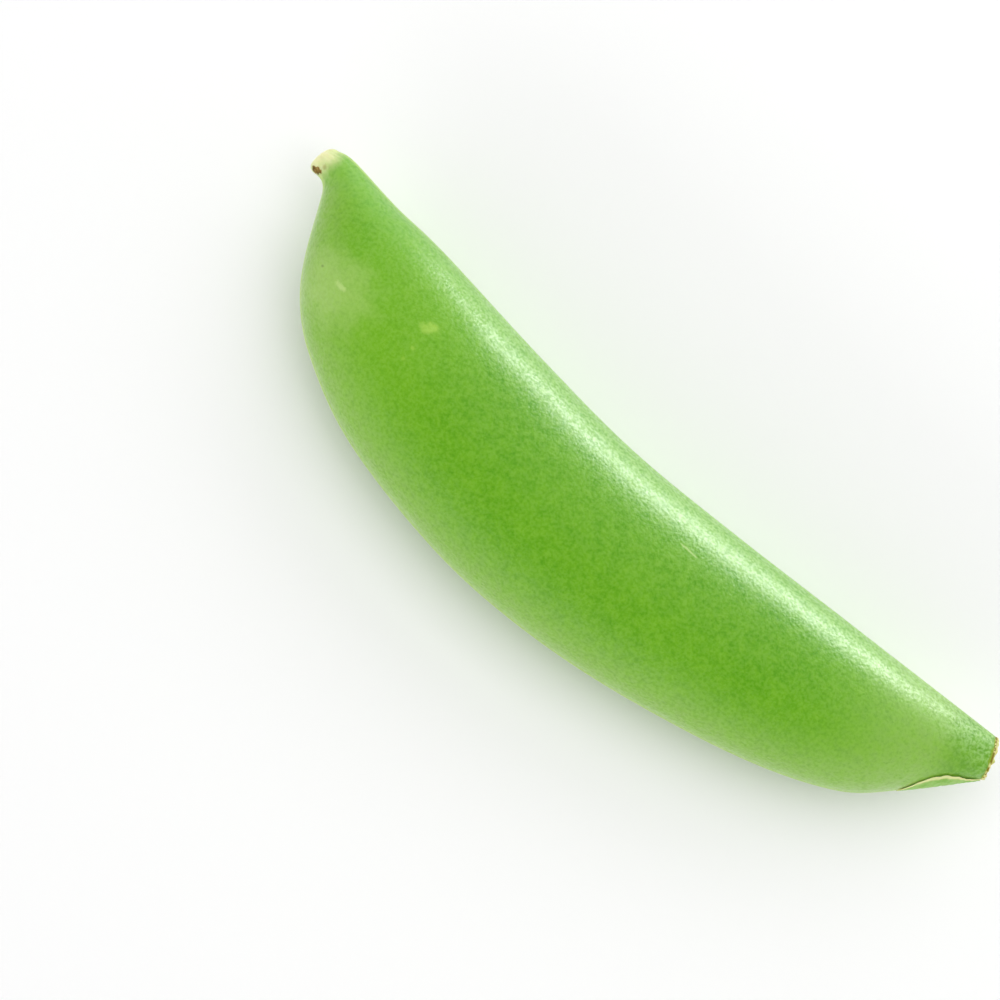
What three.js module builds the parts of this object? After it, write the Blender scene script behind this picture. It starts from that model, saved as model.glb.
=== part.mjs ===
// A sugar snap pea pod, picked and lying on its broad side.
// Millimetres, +Z up. X runs from the blossom tip (-X) to the stalk end (+X), and the straighter
// seam is at +Y. The origin is the middle of the pod's footprint, on the surface it rests on.

import * as THREE from 'three';
import { mergeVertices } from 'three/addons/utils/BufferGeometryUtils.js';

// Driving dimensions
const POD_THICKNESS = 12.6;      // across the two broad sides, at the plumpest peas
const FULL_WIDTH = 17.6;         // seam to seam, at the plumpest peas
const REST_PRESS = 0.25;         // how far the soft side settles flat under its own weight
const FLATNESS = 0.72;           // thickness over width, where the pod is widest
const END_ROUNDNESS = 0.2;       // how much rounder the narrow ends are
const SEAM_POINTEDNESS = 1.1;    // above 1, the section comes to an edge at both seams
const PIECE_GAP = 0.3;           // clear space between neighbouring pieces
const SEGMENTS_AROUND = 32;
const SEGMENTS_ALONG = 60;

// The two seams, from blossom tip to stalk end: the straighter one that carries the peas,
// and the rounder belly seam.
const PEA_SEAM = [
  [-37.9, 9.65], [-36.6, 10.05], [-31.0, 9.6], [-25.4, 9.4], [-13.0, 8.2], [-2.0, 7.55],
  [9.0, 8.0], [21.7, 8.9], [37.4, 10.0],
];
const BELLY_SEAM = [
  [-38.05, 7.3], [-37.3, 7.1], [-36.1, 5.65], [-34.0, 1.4], [-31.9, -1.6], [-28.3, -4.5], [-21.1, -7.75],
  [-11.0, -9.7], [-2.0, -10.1], [8.8, -8.95], [21.7, -5.9], [30.2, -2.4], [34.3, 1.3], [38.4, 6.5],
];

// Calyx remnant: where it starts along the pod, and how far round the belly seam it reaches
const FLAP_START = 0.915;
const FLAP_END = 0.99;
const FLAP_UPPER_ANGLE = 2.45;
const FLAP_LOWER_ANGLE = 4.6;
const FLAP_THICKNESS = 0.45;
const FLAP_EDGE_THINNING = 0.65; // how much of the thickness is lost at the two long edges
const FLAP_STEPS_ALONG = 12;
const FLAP_STEPS_ROUND = 9;

// Broken stalk and dried style
const STALK_LENGTH = 0.45;
const STALK_EDGE = 0.15;
const TIP_BULGE = 0.25;          // how far the blunt tip stands out past its last section
const STYLE_LENGTH = 0.5;
const STYLE_RADIUS = 0.42;
const STYLE_TIP_RADIUS = 0.2;
const STYLE_OFFSET = 0.75;       // from the middle of the tip towards the belly seam

const FRESH_GREEN = '#6fae2c';
const NECK_GREEN = '#8bb95a';
const TORN_CREAM = '#cfc98a';
const DRIED_BROWN = '#6b5418';

const toCurve = (points) => new THREE.SplineCurve(points.map(([x, y]) => new THREE.Vector2(x, y)));
const peaSeam = toCurve(PEA_SEAM);
const bellySeam = toCurve(BELLY_SEAM);
const middleHeight = POD_THICKNESS / 2 - REST_PRESS;

// One cross-section of the pod: its centre, the direction to the pea seam, and its two half sizes
function sectionAt(along) {
  const upper = peaSeam.getPointAt(along);
  const lower = bellySeam.getPointAt(along);
  const centre = upper.clone().add(lower).multiplyScalar(0.5);
  const across = upper.clone().sub(lower);
  const width = across.length();
  const roundness = END_ROUNDNESS * Math.max(0, 1 - width / FULL_WIDTH) ** 1.5;
  return {
    centre,
    across: across.normalize(),
    halfWidth: width / 2,
    halfThickness: (width * (FLATNESS + roundness)) / 2,
  };
}

// A point on the pod. The angle is 0 at the pea seam and a half turn at the belly seam,
// and lift moves the point outwards from the skin.
function podPoint(along, angle, lift = 0) {
  const section = sectionAt(along);
  const reach = (section.halfWidth + lift) * Math.cos(angle);
  const side = Math.sin(angle);
  const height = (section.halfThickness + lift) * Math.sign(side) * Math.abs(side) ** SEAM_POINTEDNESS;
  const x = section.centre.x + reach * section.across.x;
  const y = section.centre.y + reach * section.across.y;
  return new THREE.Vector3(x, y, Math.max(0, middleHeight + height));
}

// Moves every vertex of a ready-made geometry to where place(u, v, point) says
function warp(geometry, place) {
  const position = geometry.attributes.position;
  const uv = geometry.attributes.uv;
  for (let i = 0; i < position.count; i += 1) {
    const before = new THREE.Vector3().fromBufferAttribute(position, i);
    const after = place(uv.getX(i), uv.getY(i), before);
    position.setXYZ(i, after.x, after.y, after.z);
  }
  geometry.deleteAttribute('normal');
  geometry.deleteAttribute('uv');
  const closed = mergeVertices(geometry, 1e-4);
  closed.computeVertexNormals();
  return closed;
}

function skin(color, roughness) {
  return new THREE.MeshStandardMaterial({ color, roughness, metalness: 0 });
}

// The direction out of the pod's last section at the stalk end, square to it
function stalkDirection() {
  const { across } = sectionAt(1);
  return new THREE.Vector3(across.y, -across.x, 0);
}

// The direction out of the pod's first section at the blossom tip, square to it
function tipDirection() {
  const { across } = sectionAt(0);
  return new THREE.Vector3(-across.y, across.x, 0);
}

// A point on the line out of an end section's centre
function beyondEnd(along, direction, distance) {
  const { centre } = sectionAt(along);
  return new THREE.Vector3(centre.x, centre.y, middleHeight).addScaledVector(direction, distance);
}

// The pod: a ball pulled out along the two seams. Its poles close the blunt blossom tip
// and the flat torn face at the stalk end.
function makePod() {
  const ball = new THREE.SphereGeometry(1, SEGMENTS_AROUND, SEGMENTS_ALONG);
  const shape = warp(ball, (u, v) => {
    const ring = Math.round((1 - v) * SEGMENTS_ALONG);
    if (ring === 0) {
      return beyondEnd(0, tipDirection(), TIP_BULGE);
    }
    if (ring === SEGMENTS_ALONG) {
      return beyondEnd(1, stalkDirection(), 0);
    }
    return podPoint((ring - 1) / (SEGMENTS_ALONG - 2), -u * 2 * Math.PI);
  });
  return new THREE.Mesh(shape, skin(FRESH_GREEN, 0.42));
}

// What is left of the calyx: a thin flap that wraps the belly seam at the stalk end
function makeCalyxFlap() {
  const slab = new THREE.BoxGeometry(1, 1, 1, FLAP_STEPS_ALONG, FLAP_STEPS_ROUND, 1);
  const shape = warp(slab, (u, v, point) => {
    const along = THREE.MathUtils.lerp(FLAP_START, FLAP_END, point.x + 0.5);
    const angle = THREE.MathUtils.lerp(FLAP_LOWER_ANGLE, FLAP_UPPER_ANGLE, point.y + 0.5);
    const thinning = 1 - FLAP_EDGE_THINNING * (2 * point.y) ** 2;
    return podPoint(along, angle, PIECE_GAP + (point.z + 0.5) * FLAP_THICKNESS * thinning);
  });
  return new THREE.Mesh(shape, skin(NECK_GREEN, 0.55));
}

// A turned piece that stands on its flat base at a point and points along a direction
function standingLathe(profile, material, base, direction) {
  const outline = profile.map(([radius, height]) => new THREE.Vector2(radius, height));
  const mesh = new THREE.Mesh(new THREE.LatheGeometry(outline, 16), material);
  mesh.position.copy(base);
  mesh.quaternion.setFromUnitVectors(new THREE.Vector3(0, 1, 0), direction);
  return mesh;
}

// The stalk broke off here and left a low plug of tissue on the pod's torn face
function makeStalkBase() {
  const { halfWidth, halfThickness } = sectionAt(1);
  const profile = [
    [0, 0], [1, 0], [1, STALK_LENGTH - STALK_EDGE], [1 - STALK_EDGE, STALK_LENGTH], [0, STALK_LENGTH],
  ];
  const base = beyondEnd(1, stalkDirection(), PIECE_GAP);
  const mesh = standingLathe(profile, skin(TORN_CREAM, 0.8), base, stalkDirection());
  mesh.scale.set(halfWidth, 1, halfThickness);
  return mesh;
}

// The dried style: a small brown nub at the belly side of the blunt tip
function makeStyleRemnant() {
  const profile = [
    [0, 0], [STYLE_RADIUS, 0], [STYLE_RADIUS, STYLE_LENGTH / 2], [STYLE_TIP_RADIUS, STYLE_LENGTH],
    [0, STYLE_LENGTH],
  ];
  const { across } = sectionAt(0);
  const base = beyondEnd(0, tipDirection(), TIP_BULGE + PIECE_GAP);
  base.addScaledVector(new THREE.Vector3(across.x, across.y, 0), -STYLE_OFFSET);
  return standingLathe(profile, skin(DRIED_BROWN, 0.85), base, tipDirection());
}

function named(mesh, name) {
  mesh.name = name;
  return mesh;
}

const group = new THREE.Group();
group.add(named(makePod(), 'pod'));
group.add(named(makeCalyxFlap(), 'calyx_flap'));
group.add(named(makeStalkBase(), 'stalk_base'));
group.add(named(makeStyleRemnant(), 'style_remnant'));

export default group;
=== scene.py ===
# %% [markdown]
# # A sugar snap pea pod
# The pod lies on its broad side, with its blossom tip at -X and its stalk end at +X.
# Its two seams are the driving lines of the whole shape: the straighter pea seam at +Y and the
# rounder belly seam at -Y. Everything here is in millimetres until it becomes a mesh,
# because a pod is small and its sizes read best that way.

# %% Load the frame
import math
import bpy
import numpy as np
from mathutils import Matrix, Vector, noise


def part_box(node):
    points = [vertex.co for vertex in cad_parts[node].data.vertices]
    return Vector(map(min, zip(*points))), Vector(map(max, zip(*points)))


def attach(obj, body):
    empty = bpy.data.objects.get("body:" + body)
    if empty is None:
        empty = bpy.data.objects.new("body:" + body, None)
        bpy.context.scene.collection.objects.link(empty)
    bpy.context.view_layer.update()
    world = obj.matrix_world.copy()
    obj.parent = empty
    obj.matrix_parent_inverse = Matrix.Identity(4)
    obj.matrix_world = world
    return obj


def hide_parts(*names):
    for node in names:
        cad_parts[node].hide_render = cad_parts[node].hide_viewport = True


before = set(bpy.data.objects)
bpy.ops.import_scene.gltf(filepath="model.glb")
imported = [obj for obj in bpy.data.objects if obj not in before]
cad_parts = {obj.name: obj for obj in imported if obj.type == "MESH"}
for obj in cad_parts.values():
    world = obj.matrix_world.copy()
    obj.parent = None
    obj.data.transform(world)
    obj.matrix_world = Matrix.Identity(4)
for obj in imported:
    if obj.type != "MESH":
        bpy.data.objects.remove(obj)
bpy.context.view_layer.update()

MM = 0.001
pod_low, pod_high = (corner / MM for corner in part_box("pod"))
print("pod solid, mm:", [round(side, 1) for side in pod_high - pod_low])

# %% [markdown]
# ## Camera
# A pod shows its shape best from straight above its broad side. A long lens keeps the two ends
# from looking smaller than the middle. The camera is turned about the vertical, so that the pod
# runs from the upper left of the picture down to the lower right.

# %% Place the camera
LENS_MM = 100.0
SENSOR_MM = 36.0
VIEW_WIDTH_MM = 85.6
PICTURE_TURN = math.radians(41.8)
VIEW_CENTRE_MM = (-7.7, -3.1)
middle_height = pod_high.z / 2
camera_data = bpy.data.cameras.new("camera")
camera_data.lens = LENS_MM
camera_data.sensor_width = SENSOR_MM
camera_data.clip_start = 0.01
camera = bpy.data.objects.new("camera", camera_data)
bpy.context.scene.collection.objects.link(camera)
camera_height = middle_height + VIEW_WIDTH_MM * LENS_MM / SENSOR_MM
camera.location = Vector((*VIEW_CENTRE_MM, camera_height)) * MM
camera.rotation_euler = (0.0, 0.0, PICTURE_TURN)
bpy.context.scene.camera = camera
print("camera height, mm:", round(camera_height))

# %% [markdown]
# ## The two seams
# A seam is one smooth line through a few listed points. A Catmull-Rom spline passes through
# every point, and taking the same share of both seams' lengths gives the two ends of one
# cross-section. A light smoothing takes out the small changes of bend at the points.
# The belly seam dips in sharply just behind the blossom tip, which gives the tip its little hook.

# %% Draw the seams
PEA_SEAM = [
    (-37.9, 9.85), (-36.6, 10.15), (-31.0, 9.6), (-25.4, 9.4), (-13.0, 8.2), (-2.0, 7.55),
    (9.0, 8.0), (21.7, 8.9), (37.4, 10.0),
]
BELLY_SEAM = [
    (-38.3, 7.3), (-37.2, 7.42), (-36.45, 6.3), (-35.9, 5.2), (-34.0, 1.4), (-31.9, -1.6),
    (-28.3, -4.5), (-21.1, -7.75), (-11.0, -9.7), (-2.0, -10.1), (8.8, -8.95), (21.7, -5.9),
    (30.2, -2.4), (34.3, 1.3), (38.85, 6.5),
]
CURVE_STEPS = 2000
SMOOTHING_STEPS = 40


def spline(points):
    """A Catmull-Rom line through the points, at even steps along its length."""
    knots = np.array(points)
    knots = np.vstack([2 * knots[0] - knots[1], knots, 2 * knots[-1] - knots[-2]])
    place = np.linspace(0, len(points) - 1, CURVE_STEPS + 1)
    index = np.minimum(place.astype(int), len(points) - 2)
    t = (place - index)[:, None]
    p0, p1, p2, p3 = (knots[index + k] for k in range(4))
    bend = 2 * p0 - 5 * p1 + 4 * p2 - p3 + t * (3 * (p1 - p2) + p3 - p0)
    line = p1 + 0.5 * t * (p2 - p0 + t * bend)
    return even_steps(line)


def even_steps(line):
    """The same line with its points spread evenly along its length."""
    lengths = np.r_[0, np.cumsum(np.linalg.norm(np.diff(line, axis=0), axis=1))]
    wanted = np.linspace(0, lengths[-1], CURVE_STEPS + 1)
    return np.stack([np.interp(wanted, lengths, line[:, axis]) for axis in (0, 1)], axis=1)


def smoothed(line):
    """A running average that keeps both ends where they are."""
    window = np.hanning(2 * SMOOTHING_STEPS + 1)
    window /= window.sum()
    start = 2 * line[0] - line[SMOOTHING_STEPS:0:-1]
    end = 2 * line[-1] - line[-2:-SMOOTHING_STEPS - 2:-1]
    padded = np.vstack([start, line, end])
    return np.stack([np.convolve(padded[:, axis], window, "valid") for axis in (0, 1)], axis=1)


pea_seam = smoothed(spline(PEA_SEAM))
belly_seam = smoothed(spline(BELLY_SEAM))
print("widest, mm:", round(np.linalg.norm(pea_seam - belly_seam, axis=1).max(), 2))

# %% [markdown]
# ## The pod's skin as a formula
# Every piece here touches the pod, so one function gives a point on its skin from two numbers:
# how far along the pod, and the angle round it (0 at the pea seam, half a turn at the belly seam).
# The section is an oval with a slight edge at both seams. It is rounder at the narrow ends.

# %% Define the skin
FULL_WIDTH = 17.6
FLATNESS = 0.72
END_ROUNDNESS = 0.2
SEAM_POINTEDNESS = 1.1
middle = pod_high.z - FULL_WIDTH * FLATNESS / 2


def seam_share(line, along):
    """The point at this share of a seam's length."""
    steps = np.linspace(0, 1, CURVE_STEPS + 1)
    return np.stack([np.interp(along, steps, line[:, axis]) for axis in (0, 1)], axis=-1)


def section(along):
    """Centre, direction to the pea seam, half width and half thickness of a cross-section."""
    upper = seam_share(pea_seam, along)
    lower = seam_share(belly_seam, along)
    width = np.linalg.norm(upper - lower, axis=-1)
    roundness = END_ROUNDNESS * np.maximum(0, 1 - width / FULL_WIDTH) ** 1.5
    across = (upper - lower) / width[..., None]
    return (upper + lower) / 2, across, width / 2, width * (FLATNESS + roundness) / 2


def skin_point(along, angle, lift=0.0, scale=1.0):
    """Points on the skin, or lift millimetres outside it. Scale shrinks a closing ring."""
    centre, across, half_width, half_thickness = section(along)
    reach = (half_width * scale + lift) * np.cos(angle)
    side = np.sin(angle)
    height = (half_thickness * scale + lift) * np.sign(side) * np.abs(side) ** SEAM_POINTEDNESS
    flat = centre + reach[..., None] * across
    return np.concatenate([flat, (middle + height)[..., None]], axis=-1)


print("half thickness at the middle, mm:", round(float(section(np.array(0.5))[3]), 2))

# %% [markdown]
# ## Small relief in the skin
# A fresh pod isn't a smooth balloon. A raised cord runs along each seam, with a groove in the one
# that carries the peas. Each pea pushes the walls out a little, and the skin rises and falls softly
# between them. Near both ends it is drawn into fine lengthwise wrinkles.
# All of it is real shape, so it is added to the mesh and not left to a bump map.

# %% Define the relief
SEAM_CORD_HEIGHT = 0.14
SEAM_CORD_WIDTH = 0.38
PEA_GROOVE_DEPTH = 0.15
PEA_GROOVE_WIDTH = 0.13
PEA_COUNT = 8
PEA_SWELL = 0.09
PEAS_FROM = 0.08
PEAS_TO = 0.9
PEAS_FADE = 0.12
FIRST_PEA = 0.02
SKIN_WAVE = 0.10
SKIN_WAVE_LENGTH = 9.0
WRINKLE_HEIGHT = 0.1
WRINKLE_SPACING = 0.45
WRINKLED_SHARE = 0.09


def bell(distance, width):
    """A smooth bump, 1 in the middle."""
    return np.exp(-(distance / width) ** 2)


def soft_noise(points, length):
    """Smooth noise from -1 to 1 at each point, with features about this long."""
    return np.array([noise.noise(Vector(point) / length) for point in points.reshape(-1, 3)])


def seam_relief(from_pea, from_belly):
    """The raised cords along both seams, from the distances to them over the skin."""
    cords = bell(from_pea, SEAM_CORD_WIDTH * 1.25) + bell(from_belly, SEAM_CORD_WIDTH)
    groove = bell(from_pea, PEA_GROOVE_WIDTH)
    return SEAM_CORD_HEIGHT * cords - PEA_GROOVE_DEPTH * groove


def skin_relief(points, along, angle, from_pea, from_belly):
    """How far the skin stands out of its smooth form, in millimetres."""
    flank = np.sin(angle) ** 2
    full = np.clip(np.minimum(along - PEAS_FROM, PEAS_TO - along) / PEAS_FADE, 0, 1)
    peas = PEA_SWELL * full * flank * np.cos(2 * np.pi * PEA_COUNT * (along - FIRST_PEA))
    waves = SKIN_WAVE * soft_noise(points, SKIN_WAVE_LENGTH).reshape(along.shape)
    ends = np.clip(1 - np.minimum(along, 1 - along) / WRINKLED_SHARE, 0, 1)
    lengthwise = np.stack([8 * along, 2.2 * np.cos(angle), 2.2 * np.sin(angle)], axis=-1)
    wrinkles = WRINKLE_HEIGHT * ends * soft_noise(lengthwise, WRINKLE_SPACING).reshape(along.shape)
    return peas + waves * flank + wrinkles * flank + seam_relief(from_pea, from_belly)


print("cord and groove on the pea seam, mm:", SEAM_CORD_HEIGHT, PEA_GROOVE_DEPTH)

# %% [markdown]
# ## The plan of the rings
# The pod's mesh is a grid of rings, even along the pod. The blossom tip is closed by a cap of
# shrinking rings. A power below 1 on their size makes the cap blunter than half a ball, and the cap
# leans a little to the belly side. The stalk end is closed flat, because the torn plug covers it.

# %% Plan the rings
RINGS = 380
POINTS_ROUND = 168
SEAM_CROWDING = 0.55
TIP_RINGS = 14
TIP_LENGTH = 0.8
TIP_BLUNTNESS = 0.55
TIP_HOOK = 0.14
END_RINGS = 4


def ring_plan():
    """Along, scale and outward shift of every ring, tip cap first and stalk face last."""
    cap = np.linspace(math.pi / 2, 0, TIP_RINGS, endpoint=False)[1:]
    face = np.linspace(1, 0, END_RINGS + 1)[1:-1]
    body = np.linspace(0, 1, RINGS)
    along = np.concatenate([0 * cap, body, 0 * face + 1])
    scale = np.concatenate([np.cos(cap) ** TIP_BLUNTNESS, 0 * body + 1, face])
    shift = np.concatenate([-TIP_LENGTH * np.sin(cap), 0 * body, 0 * face])
    return along, scale, shift


def along_direction(along):
    """The direction along the pod, square to a section, towards the stalk end."""
    across = section(np.asarray(along, float))[1]
    return np.stack([across[..., 1], -across[..., 0], 0 * across[..., 0]], axis=-1)


def tip_direction(along):
    """The way the blunt tip is drawn out: along the pod, leaning to the belly side at its end."""
    across = section(np.asarray(along, float))[1]
    lean = np.concatenate([across, 0 * across[..., :1]], axis=-1) * TIP_HOOK / TIP_LENGTH
    return along_direction(along) + lean


print("rings:", len(ring_plan()[0]), "with", POINTS_ROUND, "points each")

# %% [markdown]
# ## From rings to an object
# Every piece here is a closed form made of rings, so they share a few helpers: quads between the
# rings with a fan to a pole at each end, an object from points in millimetres, and numbers stored
# on the points, which the materials read later. The distances over the skin from the two seams
# are such numbers. They are measured on the mesh itself, so they follow its bends.

# %% Define the mesh helpers
SOFT_FLOOR = 0.06


def settle(points):
    """Presses the underside flat where the pod rests, with a soft edge to the flat patch."""
    height = points[..., 2]
    points[..., 2] = (height + np.sqrt(height ** 2 + SOFT_FLOOR ** 2)) / 2
    return points


def ring_distances(points):
    """The distance over the skin from the pea seam and from the belly seam, signed to the top side."""
    count = points.shape[1]
    steps = np.linalg.norm(np.roll(points, -1, axis=1) - points, axis=2)
    travelled = np.concatenate([np.zeros((len(points), 1)), np.cumsum(steps, axis=1)], axis=1)
    whole = travelled[:, -1:]
    from_start = travelled[:, :-1]
    from_pea = np.where(from_start > whole / 2, from_start - whole, from_start)
    from_belly = from_start - travelled[:, count // 2:count // 2 + 1]
    return from_pea, from_belly


def grid_faces(rings, around):
    """Quads between neighbouring rings, plus a fan to a pole at each end."""
    faces = []
    for ring in range(rings - 1):
        for step in range(around):
            after = (step + 1) % around
            low, high = ring * around, (ring + 1) * around
            faces.append((low + step, low + after, high + after, high + step))
    first_pole, last_pole = rings * around, rings * around + 1
    last = (rings - 1) * around
    for step in range(around):
        after = (step + 1) % around
        faces.append((first_pole, after, step))
        faces.append((last_pole, last + step, last + after))
    return faces


def make_object(name, points, faces):
    """A smooth-shaded object from points in millimetres."""
    mesh = bpy.data.meshes.new(name)
    mesh.from_pydata((np.asarray(points) * MM).tolist(), [], faces)
    mesh.validate()
    mesh.shade_smooth()
    made = bpy.data.objects.new(name, mesh)
    bpy.context.scene.collection.objects.link(made)
    return made


def add_attribute(piece, name, values):
    """Stores one number per point, for the materials to read."""
    layer = piece.data.attributes.new(name, "FLOAT", "POINT")
    layer.data.foreach_set("value", np.asarray(values, np.float32).ravel())


print("faces in a grid of 3 rings of 4:", len(grid_faces(3, 4)))

# %% [markdown]
# ## The pod
# The pod grew as one piece, so it is one closed mesh. The points round each ring are closer
# together at the seams, where the narrow cords need them. A formula was chosen over sculpting,
# because the relief, the flap and the torn end can then all be placed by it.

# %% Build the pod
def make_pod():
    along, scale, shift = ring_plan()
    turn = np.linspace(0, 2 * np.pi, POINTS_ROUND, endpoint=False)
    turn = turn - SEAM_CROWDING * np.sin(2 * turn) / 2
    along_grid, angle_grid = np.meshgrid(along, turn, indexing="ij")
    scale_grid = np.repeat(scale[:, None], POINTS_ROUND, axis=1)
    moved = shift[:, None, None] * tip_direction(along_grid)
    smooth = skin_point(along_grid, angle_grid, scale=scale_grid)
    from_pea, from_belly = ring_distances(smooth)
    relief = skin_relief(smooth, along_grid, angle_grid, from_pea, from_belly)
    relief *= scale_grid ** 2
    points = settle(skin_point(along_grid, angle_grid, relief, scale_grid) + moved)
    tip = skin_point(np.array(0.0), np.array(0.0), scale=0.0) - TIP_LENGTH * tip_direction(0.0)
    end = skin_point(np.array(1.0), np.array(0.0), scale=0.0)
    vertices = np.vstack([points.reshape(-1, 3), tip, end])
    piece = make_object("pod_skin", vertices, grid_faces(len(along), POINTS_ROUND))
    add_attribute(piece, "along", np.r_[along_grid.ravel(), 0, 1])
    add_attribute(piece, "from_pea_seam", np.r_[np.abs(from_pea).ravel(), 1, 1])
    add_attribute(piece, "from_belly_seam", np.r_[np.abs(from_belly).ravel(), 1, 1])
    return piece


pod = make_pod()
print("pod faces:", len(pod.data.polygons))

# %% [markdown]
# ## The calyx flap
# The calyx was a small green cup round the stalk end. Picking tore most of it away, and one flap
# still wraps the belly seam. It is thin, it curls off the pod a little along its torn upper edge,
# and that edge runs in a low arch, slightly ragged. A cut-out plane would need thickness and a fit
# to the pod. A flattened tube of rings, laid on the skin formula, is closed and fits by itself.

# %% Build the calyx flap
FLAP_FROM = 0.92
FLAP_REACH_UP = 0.86
FLAP_REACH_UNDER = 1.25
FLAP_THICKNESS = 0.18
FLAP_CLEARANCE = 0.02
FLAP_CURL = 0.06
FLAP_RAG = 0.03
FLAP_RAG_LENGTH = 0.55
FLAP_CRINKLE = 0.05
FLAP_CRINKLE_LENGTH = 0.3
FLAP_NOISE_STRETCH = 6
FLAP_RINGS = 90
FLAP_ROUND = 56


def flap_reach(share):
    """How far round the belly seam the flap reaches, from nothing at its start to a blunt end."""
    return np.sin(math.pi * np.clip(share, 0, 1) ** 0.8 * 0.93) ** 0.8


def make_calyx_flap():
    share = np.linspace(0.004, 1, FLAP_RINGS)
    turn = np.linspace(0, 2 * np.pi, FLAP_ROUND, endpoint=False)
    share_grid, turn_grid = np.meshgrid(share, turn, indexing="ij")
    along = FLAP_FROM + (1 - FLAP_FROM) * share_grid
    towards_edge = np.cos(turn_grid)
    stretched = share_grid * FLAP_NOISE_STRETCH
    rag_places = np.stack([stretched, np.sign(towards_edge) * 4, 0 * share_grid], axis=-1)
    rag = FLAP_RAG * soft_noise(rag_places, FLAP_RAG_LENGTH).reshape(share_grid.shape)
    upper = math.pi - FLAP_REACH_UP * flap_reach(share_grid) + rag
    lower = math.pi + FLAP_REACH_UNDER * flap_reach(share_grid) + 2 * rag
    angle = (upper + lower) / 2 + towards_edge * (upper - lower) / 2
    side = np.sin(turn_grid)
    body = FLAP_THICKNESS / 2 * np.sign(side) * np.abs(side) ** 0.6
    curl = FLAP_CURL * np.clip(towards_edge, 0, 1) ** 6 * np.sin(math.pi * share_grid)
    crinkle_places = np.stack([stretched, angle, 0 * angle], axis=-1)
    crinkle = FLAP_CRINKLE * soft_noise(crinkle_places, FLAP_CRINKLE_LENGTH)
    lift = FLAP_CLEARANCE + FLAP_THICKNESS / 2 + body + curl + crinkle.reshape(angle.shape)
    points = skin_point(along, angle, lift)
    poles = points[[0, -1]].mean(axis=1)
    vertices = np.vstack([points.reshape(-1, 3), poles])
    piece = make_object("calyx_flap_skin", vertices, grid_faces(FLAP_RINGS, FLAP_ROUND))
    add_attribute(piece, "torn_edge", np.r_[towards_edge.ravel(), 0, 0])
    return piece


flap = make_calyx_flap()
print("calyx flap faces:", len(flap.data.polygons))

# %% [markdown]
# ## Tubes
# The loose fibres of the stalk and the dried style are thin tapering tubes. A curve with a bevel
# could make them, but a tube of rings is plain mesh from the start, so it can be joined to the
# torn plug and pushed about point by point.

# %% Define the tube
def tube(path, radii, around):
    """Rings of points along a path, with the faces that close them into a tapering tube."""
    path = np.asarray(path, float)
    heading = np.gradient(path, axis=0)
    heading /= np.linalg.norm(heading, axis=1, keepdims=True)
    first = np.cross(heading, [0.31, 0.2, 0.93])
    first /= np.linalg.norm(first, axis=1, keepdims=True)
    second = np.cross(heading, first)
    turn = np.linspace(0, 2 * np.pi, around, endpoint=False)[None, :, None]
    rings = np.cos(turn) * first[:, None] + np.sin(turn) * second[:, None]
    points = path[:, None] + np.asarray(radii)[:, None, None] * rings
    vertices = np.vstack([points.reshape(-1, 3), path[0], path[-1]])
    return vertices, grid_faces(len(path), around)


def joined(parts):
    """Several point and face lists as one."""
    vertices, faces, offset = [], [], 0
    for part_vertices, part_faces in parts:
        vertices.append(part_vertices)
        faces += [tuple(corner + offset for corner in face) for face in part_faces]
        offset += len(part_vertices)
    return np.vstack(vertices), faces


print("tube rings are closed by", len(grid_faces(2, 10)), "faces for two rings of 10")

# %% [markdown]
# ## The torn stalk end
# The stalk didn't come off cleanly: it left a shallow cup with a ragged pale rim, brown where the
# sap dried, and a few loose fibres. Rings from the outside of the neck, over the rim and down to
# the middle make the cup. Each profile pair is the share of the way out and the height above the
# face. The height is kept on the points, so that the finish knows the rim from the hollow.

# %% Build the torn stalk end
STALK_PROFILE = [
    (0.96, -0.5), (1.0, -0.15), (1.02, 0.04), (1.02, 0.16), (0.98, 0.27), (0.91, 0.28), (0.8, 0.2),
    (0.62, 0.13), (0.42, 0.12), (0.2, 0.18),
]
STALK_ROUND = 96
STALK_RAG = 0.26
COARSE_RAG_LENGTH = 0.35
FINE_RAG_LENGTH = 0.15
PLUG_DEPTH = 0.5
FIBRES = [(0.7, 1.5, 1.0), (1.0, 0.9, 0.8), (-0.4, 0.7, 0.6), (2.6, 0.6, -0.5), (3.6, 0.5, -0.6)]
FIBRE_RADIUS = 0.11
FIBRE_ROUND = 8
BELLYWARD = (0.26, -0.96, 0.0)


def stalk_point(angle, share, height):
    """A point on the stalk end's own face: share of the way out, and height above the face."""
    lower = skin_point(np.ones_like(angle), angle, scale=share)
    return lower + np.asarray(height)[..., None] * along_direction(1.0)


def fibre(angle, length, lean):
    """One loose fibre that leaves the rim and bends over to one side."""
    steps = np.linspace(0, 1, 9)
    start = stalk_point(np.array(angle), 0.92, 0.1)
    out = along_direction(1.0)
    sideways = np.array(BELLYWARD) * lean + np.array([0, 0, 0.15])
    rise = np.sin(math.pi * steps * 0.7)[:, None] * out * 0.22
    path = start + length * (rise + (steps ** 1.5)[:, None] * sideways * 0.75)
    return tube(path, FIBRE_RADIUS * (1 - 0.8 * steps ** 1.5), FIBRE_ROUND)


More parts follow.
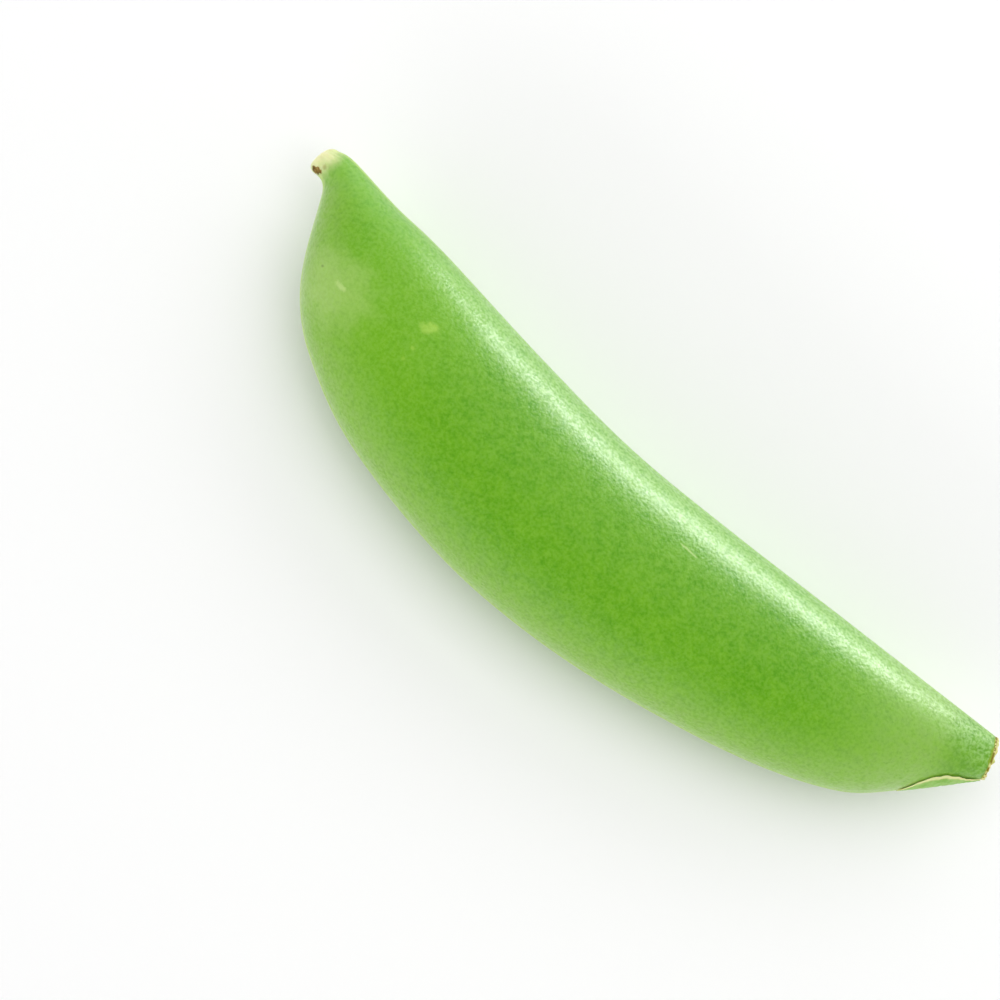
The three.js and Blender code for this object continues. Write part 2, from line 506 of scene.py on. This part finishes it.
def make_stalk_base():
    turn = np.linspace(0, 2 * np.pi, STALK_ROUND, endpoint=False)
    profile = np.array(STALK_PROFILE)
    turn_grid, share_grid = np.meshgrid(turn, profile[:, 0])
    height_grid = np.repeat(profile[:, 1][:, None], STALK_ROUND, axis=1)
    places = np.stack([np.cos(turn_grid), np.sin(turn_grid), share_grid], axis=-1)
    rag = soft_noise(places, COARSE_RAG_LENGTH) + 0.5 * soft_noise(places, FINE_RAG_LENGTH)
    rag = rag.reshape(turn_grid.shape)
    height = height_grid + STALK_RAG * rag * np.clip(height_grid * 3, 0, 1)
    points = stalk_point(turn_grid, share_grid + 0.03 * rag, height)
    centre = stalk_point(np.array(0.0), 0.0, 0.25)
    base = stalk_point(np.array(0.0), 0.0, -PLUG_DEPTH)
    vertices = np.vstack([points.reshape(-1, 3), base, centre])
    parts = [(vertices, grid_faces(len(profile), STALK_ROUND))]
    parts += [fibre(*values) for values in FIBRES]
    piece = make_object("stalk_base_torn", *joined(parts))
    heights = np.full(len(piece.data.vertices), 0.3)
    heights[:height.size] = height.ravel()
    add_attribute(piece, "torn_height", heights)
    return piece


stalk = make_stalk_base()
print("stalk end faces:", len(stalk.data.polygons))

# %% [markdown]
# ## The dried style
# The flower's style dried to a brown thread that mostly broke away. What is left is a small
# shrivelled nub at the belly side of the blunt tip, bent a little towards that side.

# %% Build the dried style
STYLE_START = (-37.9, 7.88)
STYLE_END = (-38.4, 7.28)
STYLE_RADIUS = 0.47
STYLE_STEPS = 14
STYLE_ROUND = 20
STYLE_SHRIVEL = 0.22


def make_style():
    steps = np.linspace(0, 1, STYLE_STEPS)
    flat = np.array(STYLE_START) + steps[:, None] * (np.array(STYLE_END) - np.array(STYLE_START))
    flat[:, 0] -= 0.08 * np.sin(math.pi * steps)
    path = np.column_stack([flat, middle + 0.3 + 0.15 * steps])
    radii = STYLE_RADIUS * np.sqrt(1 - (0.96 * steps) ** 3) * (1 + 0.12 * np.sin(17 * steps))
    vertices, faces = tube(path, radii, STYLE_ROUND)
    shrivel = soft_noise(vertices, STYLE_SHRIVEL)[:, None]
    centre = vertices.mean(axis=0)
    vertices = centre + (vertices - centre) * (1 + STYLE_SHRIVEL * shrivel)
    return make_object("style_remnant_dried", vertices, faces)


style = make_style()
print("style faces:", len(style.data.polygons))

# %% [markdown]
# ## Placing the pieces
# The skin formula works in the object's own frame, so nothing has to be fitted. Each piece is
# attached to the body it rides on, and the plain solid it stands for is hidden.

# %% Place the pieces on the frame
for piece, node, slot in (
    (pod, "pod", "pod_skin"),
    (flap, "calyx_flap", "calyx"),
    (stalk, "stalk_base", "torn_stalk"),
    (style, "style_remnant", "dried_style"),
):
    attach(piece, "root")
    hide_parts(node)
print("placed:", [piece.name for piece in (pod, flap, stalk, style)])

# %% [markdown]
# ## Helpers for the materials
# Every finish here is a tree of nodes. A few small helpers keep the trees readable: they add a node
# and fill or link its inputs by name, mix two colours, and turn a range of values into a mask.

# %% Define the node helpers
def node(tree, kind, settings=None, **inputs):
    """Adds a shader node. Inputs are given by name, as values or as another node's output."""
    made = tree.nodes.new("ShaderNode" + kind)
    for name, value in (settings or {}).items():
        setattr(made, name, value)
    for name, value in inputs.items():
        put(tree, made.inputs[name.replace("_", " ")], value)
    return made


def put(tree, socket, value):
    """Links an output to a socket, or sets the socket's own value."""
    if isinstance(value, bpy.types.NodeSocket):
        tree.links.new(value, socket)
    else:
        socket.default_value = value


def mix(tree, factor, first, second):
    """Two colours mixed by a factor."""
    made = tree.nodes.new("ShaderNodeMix")
    made.data_type = "RGBA"
    for index, value in ((0, factor), (6, first), (7, second)):
        put(tree, made.inputs[index], value)
    return made.outputs[2]


def mask(tree, value, start, end, low=0.0, high=1.0):
    """A smooth step from low to high as the value goes from start to end."""
    made = node(tree, "MapRange", {"interpolation_type": "SMOOTHSTEP"}, Value=value)
    for index, number in enumerate((start, end, low, high), 1):
        made.inputs[index].default_value = number
    return made.outputs[0]


def maths(tree, how, first, second=0.0):
    """One arithmetic step."""
    made = tree.nodes.new("ShaderNodeMath")
    made.operation = how
    put(tree, made.inputs[0], first)
    put(tree, made.inputs[1], second)
    return made.outputs[0]


def colour(red, green, blue):
    """A colour given as it looks on a screen, from 0 to 255, as the linear light that shaders use."""
    def linear(value):
        share = value / 255
        return share / 12.92 if share <= 0.04045 else ((share + 0.055) / 1.055) ** 2.4
    return (linear(red), linear(green), linear(blue), 1.0)


def attribute(tree, name):
    """A number stored on the mesh."""
    return node(tree, "Attribute", {"attribute_name": name}).outputs["Fac"]


def scaled(tree, value, factor):
    """A mask made weaker."""
    return maths(tree, "MULTIPLY", value, factor)


print("mid grey as linear light:", round(colour(128, 128, 128)[0], 3))

# %% [markdown]
# ## Helpers for groups and materials
# An effect that several finishes share is a node group with named inputs and outputs. The shader
# itself stays in each material, and a value that is the same all over is set on its own socket.

# %% Define the group and material helpers
def new_group(name, inputs, outputs):
    """An empty node group with named sockets, and its input and output ends."""
    tree = bpy.data.node_groups.new(name, "ShaderNodeTree")
    for label, kind, value in inputs:
        socket = tree.interface.new_socket(label, in_out="INPUT", socket_type="NodeSocket" + kind)
        socket.default_value = value
    for label, kind in outputs:
        tree.interface.new_socket(label, in_out="OUTPUT", socket_type="NodeSocket" + kind)
    return tree, tree.nodes.new("NodeGroupInput").outputs, tree.nodes.new("NodeGroupOutput").inputs


def use_group(tree, group, **inputs):
    """Places a node group with its own values."""
    made = tree.nodes.new("ShaderNodeGroup")
    made.node_tree = group
    for name, value in inputs.items():
        put(tree, made.inputs[name.replace("_", " ")], value)
    return made.outputs


def new_material(name, **shader_values):
    """A material with a Principled shader whose plain values are set on its own sockets."""
    material = bpy.data.materials.new(name)
    material.use_nodes = True
    tree = material.node_tree
    shader = tree.nodes["Principled BSDF"]
    for label, value in shader_values.items():
        shader.inputs[label.replace("_", " ")].default_value = value
    return material, tree, shader


print("materials before the first finish:", len(bpy.data.materials))

# %% [markdown]
# ## Shared effect: skin cells
# Fresh plant skin is a fine pebbled surface: cells with small pits between them, and a mottle of
# lighter and darker patches a little larger than the cells. All the pieces have it, each at its
# own scale, so it is a node group. It puts out a height for the bump, the mottle, a fine stipple
# of pale dots, and a mask of the pits, which the pod skin darkens as painted shade.

# %% Build the skin cell group
def make_cell_group():
    tree, given, out = new_group(
        "plant skin cells",
        [("Cell size mm", "Float", 0.3), ("Mottle size mm", "Float", 1.2)],
        [("Height", "Float"), ("Mottle", "Float"), ("Stipple", "Float"), ("Pits", "Float")],
    )
    place = node(tree, "TexCoord").outputs["Object"]
    cell_scale = maths(tree, "DIVIDE", 1 / MM, given["Cell size mm"])
    mottle_scale = maths(tree, "DIVIDE", 1 / MM, given["Mottle size mm"])
    cells = node(
        tree, "TexVoronoi", {"feature": "SMOOTH_F1"},
        Vector=place, Scale=cell_scale, Smoothness=0.4,
    )
    fine = node(tree, "TexNoise", Vector=place, Scale=cell_scale, Detail=2.0, Roughness=0.6)
    broad = node(tree, "TexNoise", Vector=place, Scale=mottle_scale, Detail=4.0, Roughness=0.65)
    stipple = mask(tree, fine.outputs["Fac"], 0.3, 0.7)
    pits = mask(tree, fine.outputs["Fac"], 0.45, 0.25)
    domes = scaled(tree, cells.outputs["Distance"], 0.7)
    bumps = maths(tree, "SUBTRACT", fine.outputs["Fac"], domes)
    tree.links.new(bumps, out["Height"])
    tree.links.new(mask(tree, broad.outputs["Fac"], 0.3, 0.7), out["Mottle"])
    tree.links.new(stipple, out["Stipple"])
    tree.links.new(pits, out["Pits"])
    return tree


cell_group = make_cell_group()
print("built group:", cell_group.name)

# %% [markdown]
# ## Shared effect: a soft-edged spot
# Pale marks, the cream tip and the brown specks are all spots at a known place. The group gives a
# mask that is 1 inside an oval and fades over its rim, with the rim broken up by noise so that no
# mark is a perfect oval.

# %% Build the spot group
def make_spot_group():
    tree, given, out = new_group(
        "soft-edged spot",
        [("Centre mm", "Vector", (0.0, 0.0, 0.0)), ("Size mm", "Vector", (1.0, 1.0, 1.0)),
         ("Raggedness", "Float", 0.3), ("Rag size mm", "Float", 0.5)],
        [("Mask", "Float")],
    )
    place = node(tree, "TexCoord").outputs["Object"]
    in_mm = node(tree, "VectorMath", {"operation": "SCALE"}, Vector=place, Scale=1 / MM).outputs[0]
    offset = node(tree, "VectorMath", {"operation": "SUBTRACT"})
    put(tree, offset.inputs[0], in_mm)
    put(tree, offset.inputs[1], given["Centre mm"])
    relative = node(tree, "VectorMath", {"operation": "DIVIDE"})
    put(tree, relative.inputs[0], offset.outputs[0])
    put(tree, relative.inputs[1], given["Size mm"])
    distance = node(tree, "VectorMath", {"operation": "LENGTH"})
    put(tree, distance.inputs[0], relative.outputs[0])
    rag_scale = maths(tree, "DIVIDE", 1.0, given["Rag size mm"])
    rag = node(tree, "TexNoise", Vector=in_mm, Scale=rag_scale, Detail=3.0)
    centred = maths(tree, "SUBTRACT", rag.outputs["Fac"], 0.5)
    wander = maths(tree, "MULTIPLY", centred, given["Raggedness"])
    edge = maths(tree, "ADD", distance.outputs["Value"], maths(tree, "MULTIPLY", wander, 4.0))
    tree.links.new(mask(tree, edge, 1.3, 0.3), out["Mask"])
    return tree


spot_group = make_spot_group()
print("built group:", spot_group.name)

# %% [markdown]
# ## Pod skin
# The skin is a clear yellow-green. It is deepest in the middle of the side and paler towards both
# seams, where the wall is thin, and along the cords themselves. It is younger and fresher towards
# the blossom tip, milky before the neck, darker on the neck, and cream at the tip. Pale dots along
# the pea side are a wax bloom and also a painted highlight along that lit side. Each zone is a mask
# from the numbers stored on the points, laid over the last one, and the small marks are spots at
# their own places. A little light goes into the flesh and comes out again, so the shader has some
# subsurface scattering.

# %% Make the pod skin
MIDDLE_GREEN = colour(84, 155, 2)
FRESH_GREEN = colour(100, 166, 14)
YOUNG_GREEN = colour(112, 176, 20)
BELLY_GREEN = colour(140, 178, 76)
PEA_SEAM_GREEN = colour(122, 184, 72)
NECK_GREEN = colour(88, 150, 22)
PALE_GREEN = colour(124, 184, 30)
STIPPLE_GREEN = colour(146, 198, 66)
# Painted shade: the darker green laid into the pits of the skin.
PIT_SHADE_GREEN = colour(80, 142, 14)
MILKY_GREEN = colour(148, 188, 94)
CORD_GREEN = colour(178, 206, 116)
# Wax bloom colour, which also serves as a painted highlight along the lit pea side.
BLOOM_AND_HIGHLIGHT_GREEN = colour(176, 220, 140)
MARK_GREEN = colour(172, 212, 84)
SPOT_CREAM = colour(184, 214, 126)
TIP_CREAM = colour(240, 238, 182)
SPECK_BROWN = colour(84, 96, 24)
SCAR_BROWN = colour(128, 112, 30)
MARK_HEIGHT = middle + 5
MARK_DEPTH = 6.0
SKIN_MARKS = [  # X and Y, size, raggedness, rag size, strength, colour
    ((-30.3, 0.9), (4.6, 3.4), 0.22, 1.3, 0.42, SPOT_CREAM),
    ((-29.7, 1.35), (0.7, 0.26), 0.5, 0.3, 0.8, SPOT_CREAM),
    ((-21.93, 3.46), (0.62, 0.5), 0.28, 0.4, 0.6, MARK_GREEN),
    ((-21.43, 3.91), (0.6, 0.42), 0.28, 0.4, 0.6, MARK_GREEN),
    ((-21.6, 1.5), (0.26, 0.2), 0.28, 0.4, 0.45, MARK_GREEN),
    ((-21.6, 0.3), (0.2, 0.2), 0.28, 0.4, 0.4, MARK_GREEN),
    ((7.0, 4.3), (1.1, 0.1), 0.4, 0.4, 0.6, SPOT_CREAM),
    ((-32.05, 1.65), (0.15, 0.15), 0.1, 0.5, 0.5, SPECK_BROWN),
]
TIP_PLACE = (-38.6, 8.65, middle)
TIP_SIZE = (1.75, 1.75, 2.2)
SCAR_MARK = ((-37.75, 8.1), (0.3, 0.3), 0.3, 0.5, 0.6, SCAR_BROWN)


def spot(tree, place, size, raggedness, rag_size):
    """A spot mask at a place, both in millimetres."""
    return use_group(
        tree, spot_group,
        Centre_mm=place, Size_mm=size, Raggedness=raggedness, Rag_size_mm=rag_size,
    )["Mask"]


def marked(tree, base, place, size, raggedness, rag_size, strength, tint):
    """The colour with one small mark laid over it, on the upper side only."""
    shape = spot(tree, (*place, MARK_HEIGHT), (*size, MARK_DEPTH), raggedness, rag_size)
    return mix(tree, scaled(tree, shape, strength), base, tint)


def both(tree, first, second):
    """A mask that is strong only where two masks are."""
    return maths(tree, "MULTIPLY", first, second)


def make_skin_zones(tree, along, from_pea, from_belly, drift):
    """The broad colours of the skin, before its fine pattern."""
    base = mix(tree, scaled(tree, drift, 0.6), MIDDLE_GREEN, FRESH_GREEN)
    young = both(tree, mask(tree, along, 0.36, 0.2), mask(tree, along, 0.08, 0.16, 0.3, 0.75))
    base = mix(tree, young, base, YOUNG_GREEN)
    base = mix(tree, mask(tree, from_belly, 8.5, 0.5, 0.0, 0.85), base, BELLY_GREEN)
    base = mix(tree, mask(tree, from_pea, 6.0, 1.0, 0.0, 0.75), base, PEA_SEAM_GREEN)
    milky = both(tree, mask(tree, along, 0.78, 0.92, 0.0, 0.7), mask(tree, along, 0.985, 0.94))
    base = mix(tree, milky, base, MILKY_GREEN)
    return mix(tree, mask(tree, along, 0.925, 0.97, 0.0, 0.85), base, NECK_GREEN)


def add_skin_pattern(tree, base, along, from_pea, from_belly, cells):
    """The mottle, pale dots, painted shade in the pits, the pale cords, and the wax bloom with a
    painted highlight.
    """
    base = mix(tree, scaled(tree, cells["Mottle"], 0.45), base, PALE_GREEN)
    base = mix(tree, scaled(tree, cells["Stipple"], 0.27), base, STIPPLE_GREEN)
    # Painted shade: the colour is darkened in the pits, where the bump sinks.
    base = mix(tree, scaled(tree, cells["Pits"], 0.27), base, PIT_SHADE_GREEN)
    cord_masks = mask(tree, from_belly, 0.8, 0.3), mask(tree, from_pea, 0.7, 0.3)
    cords = both(tree, maths(tree, "MAXIMUM", *cord_masks), mask(tree, along, 0.3, 0.1, 0.45, 0.9))
    base = mix(tree, cords, base, CORD_GREEN)
    # Painted highlight: pale dots of wax bloom along the pea side, where the light falls, mixed into
    # the colour.
    bloom_and_highlight = both(tree, mask(tree, from_pea, 5.4, 2.4, 0.0, 0.46), mask(tree, along, 0.1, 0.3))
    return mix(tree, both(tree, bloom_and_highlight, cells["Stipple"]), base, BLOOM_AND_HIGHLIGHT_GREEN)


def make_pod_material():
    material, tree, shader = new_material(
        "pod skin",
        Subsurface_Weight=0.18, Subsurface_Scale=0.0012, Subsurface_Radius=(0.7, 1.0, 0.25),
        Coat_Roughness=0.33, Sheen_Weight=0.12, Sheen_Roughness=0.4, Specular_IOR_Level=0.35,
    )
    along = attribute(tree, "along")
    from_pea = attribute(tree, "from_pea_seam")
    from_belly = attribute(tree, "from_belly_seam")
    cells = use_group(tree, cell_group, Cell_size_mm=0.31, Mottle_size_mm=0.85)
    drift = use_group(tree, cell_group, Cell_size_mm=2.0, Mottle_size_mm=14.0)["Mottle"]
    base = make_skin_zones(tree, along, from_pea, from_belly, drift)
    base = add_skin_pattern(tree, base, along, from_pea, from_belly, cells)
    for mark in SKIN_MARKS:
        base = marked(tree, base, *mark)
    base = mix(tree, spot(tree, TIP_PLACE, TIP_SIZE, 0.12, 0.8), base, TIP_CREAM)
    base = marked(tree, base, *SCAR_MARK)
    put(tree, shader.inputs["Base Color"], base)
    put(tree, shader.inputs["Coat Weight"], mask(tree, cells["Stipple"], 0.2, 0.9, 0.16, 0.52))
    put(tree, shader.inputs["Roughness"], mask(tree, cells["Mottle"], 0.0, 1.0, 0.36, 0.48))
    bump = node(tree, "Bump", Height=cells["Height"], Strength=1.0, Distance=0.04 * MM)
    put(tree, shader.inputs["Normal"], bump.outputs["Normal"])
    return material


pod.data.materials.append(make_pod_material())
print("made:", pod.data.materials[0].name)

# %% [markdown]
# ## Calyx, torn tissue and dried style
# The calyx is leaf tissue: the same cells as the pod but rougher, with a thin bare cream line where
# it tore. The stalk end is cream on its torn rim, brown with dried sap in the hollow just below,
# and green where it joins the neck, so its colour follows the height stored on its points. The
# style is dry and dark. All three end in the same few links, so one helper makes those.

# %% Make the three small finishes
CALYX_GREEN = colour(150, 196, 92)
CALYX_DEEP = colour(112, 170, 56)
TORN_CREAM = colour(228, 226, 156)
TORN_YELLOW = colour(190, 194, 92)
SAP_BROWN = colour(130, 116, 34)
RIM_GREEN = colour(138, 172, 50)
STYLE_BROWN = colour(92, 72, 16)
STYLE_PALE = colour(170, 140, 78)


def finish_surface(tree, shader, base, cells, roughness, bump_strength, bump_mm):
    """Links the colour, a mottled roughness and a cell bump to the shader."""
    put(tree, shader.inputs["Base Color"], base)
    put(tree, shader.inputs["Roughness"], mask(tree, cells["Mottle"], 0.0, 1.0, *roughness))
    height = cells["Height"]
    bump = node(tree, "Bump", Height=height, Strength=bump_strength, Distance=bump_mm * MM)
    put(tree, shader.inputs["Normal"], bump.outputs["Normal"])


def make_calyx_material():
    material, tree, shader = new_material(
        "calyx flap", Subsurface_Weight=0.2, Subsurface_Scale=0.0008, Specular_IOR_Level=0.4
    )
    cells = use_group(tree, cell_group, Cell_size_mm=0.25, Mottle_size_mm=0.9)
    base = mix(tree, scaled(tree, cells["Mottle"], 0.6), CALYX_GREEN, CALYX_DEEP)
    base = mix(tree, mask(tree, attribute(tree, "torn_edge"), 0.84, 0.95), base, TORN_CREAM)
    finish_surface(tree, shader, base, cells, (0.45, 0.65), 0.5, 0.08)
    return material


def make_torn_material():
    material, tree, shader = new_material(
        "torn stalk tissue", Subsurface_Weight=0.2, Subsurface_Scale=0.0006, Specular_IOR_Level=0.3
    )
    cells = use_group(tree, cell_group, Cell_size_mm=0.2, Mottle_size_mm=0.7)
    torn_height = attribute(tree, "torn_height")
    base = mix(tree, cells["Mottle"], TORN_CREAM, TORN_YELLOW)
    hollow = both(tree, mask(tree, torn_height, 0.26, 0.12), mask(tree, cells["Mottle"], 0.25, 0.6))
    base = mix(tree, hollow, base, SAP_BROWN)
    base = mix(tree, mask(tree, torn_height, 0.08, -0.04), base, RIM_GREEN)
    finish_surface(tree, shader, base, cells, (0.6, 0.85), 0.7, 0.12)
    return material


def make_style_material():
    material, tree, shader = new_material("dried style", Specular_IOR_Level=0.3)
    cells = use_group(tree, cell_group, Cell_size_mm=0.18, Mottle_size_mm=0.5)
    base = mix(tree, cells["Mottle"], STYLE_BROWN, STYLE_PALE)
    finish_surface(tree, shader, base, cells, (0.7, 0.9), 0.8, 0.1)
    return material


flap.data.materials.append(make_calyx_material())
stalk.data.materials.append(make_torn_material())
style.data.materials.append(make_style_material())
print("made:", [piece.data.materials[0].name for piece in (flap, stalk, style)])

# %% [markdown]
# ## Floor
# The pod lies on a plain near-white surface. It is matt, with a hardly visible change of tone, so
# that it takes the soft shadow and sets off the green.

# %% Set the floor
FLOOR_SIZE = 3.0
FLOOR_TONES = (0.96, 0.96, 0.96, 1), (0.98, 0.98, 0.975, 1)


def make_floor():
    mesh = bpy.data.meshes.new("floor")
    half = FLOOR_SIZE / 2
    corners = [(-half, -half, 0), (half, -half, 0), (half, half, 0), (-half, half, 0)]
    mesh.from_pydata(corners, [], [(0, 1, 2, 3)])
    floor = bpy.data.objects.new("floor", mesh)
    bpy.context.scene.collection.objects.link(floor)
    material, tree, shader = new_material("pale floor", Roughness=0.9, Specular_IOR_Level=0.1)
    tone = node(tree, "TexNoise", Scale=40.0, Detail=3.0)
    put(tree, shader.inputs["Base Color"], mix(tree, tone.outputs["Fac"], *FLOOR_TONES))
    floor.data.materials.append(material)
    return floor


print("floor, m:", tuple(round(side, 1) for side in make_floor().dimensions))

# %% [markdown]
# ## Light
# A wide soft light above and one beyond the pea seam give the even daylight look, and one opposite
# lifts the belly side. They are kept out of the gloss, because such big lights would lay a milky
# veil over the whole side. A small low strip beyond the pea seam does the opposite: it only shows
# in the gloss, as the soft bright band along that side. The surroundings are bright near the
# horizon and dim overhead, for the same reason.

# %% Set the lights
def area_light(name, place_mm, aim_mm, size_mm, watts):
    """A soft rectangular light that faces a point."""
    data = bpy.data.lights.new(name, "AREA")
    data.shape = "RECTANGLE"
    data.size, data.size_y = (side * MM for side in size_mm)
    data.energy = watts
    light = bpy.data.objects.new(name, data)
    light.location = Vector(place_mm) * MM
    facing = Vector(aim_mm) * MM - light.location
    light.rotation_euler = facing.to_track_quat("-Z", "Y").to_euler()
    bpy.context.scene.collection.objects.link(light)
    return light


overhead = area_light("overhead", (0, 140, 480), (0, 0, 0), (700, 400), 1.68)
overhead.visible_glossy = False
window = area_light("window", (20, 400, 260), (0, 0, 0), (560, 200), 0.5)
window.visible_glossy = False
low_strip = area_light("low strip", (11, 68, 9), (11, 0, 8), (62, 22), 0.073)
low_strip.visible_diffuse = False
belly_fill = area_light("belly fill", (0, -400, 110), (0, 0, 5), (560, 180), 0.67)
belly_fill.visible_glossy = False
print("lights:", [light.name for light in (overhead, window, low_strip, belly_fill)])

# %% Set the surroundings
world = bpy.data.worlds.new("studio")
world.use_nodes = True
sky = world.node_tree
direction = node(sky, "SeparateXYZ", Vector=node(sky, "TexCoord").outputs["Generated"]).outputs["Z"]
put(sky, sky.nodes["Background"].inputs["Color"], (1, 1, 1, 1))
put(sky, sky.nodes["Background"].inputs["Strength"], mask(sky, direction, 0.95, 0.2, 0.11, 0.95))
bpy.context.scene.world = world
bpy.context.scene.view_settings.view_transform = "Standard"
print("surroundings:", world.name)
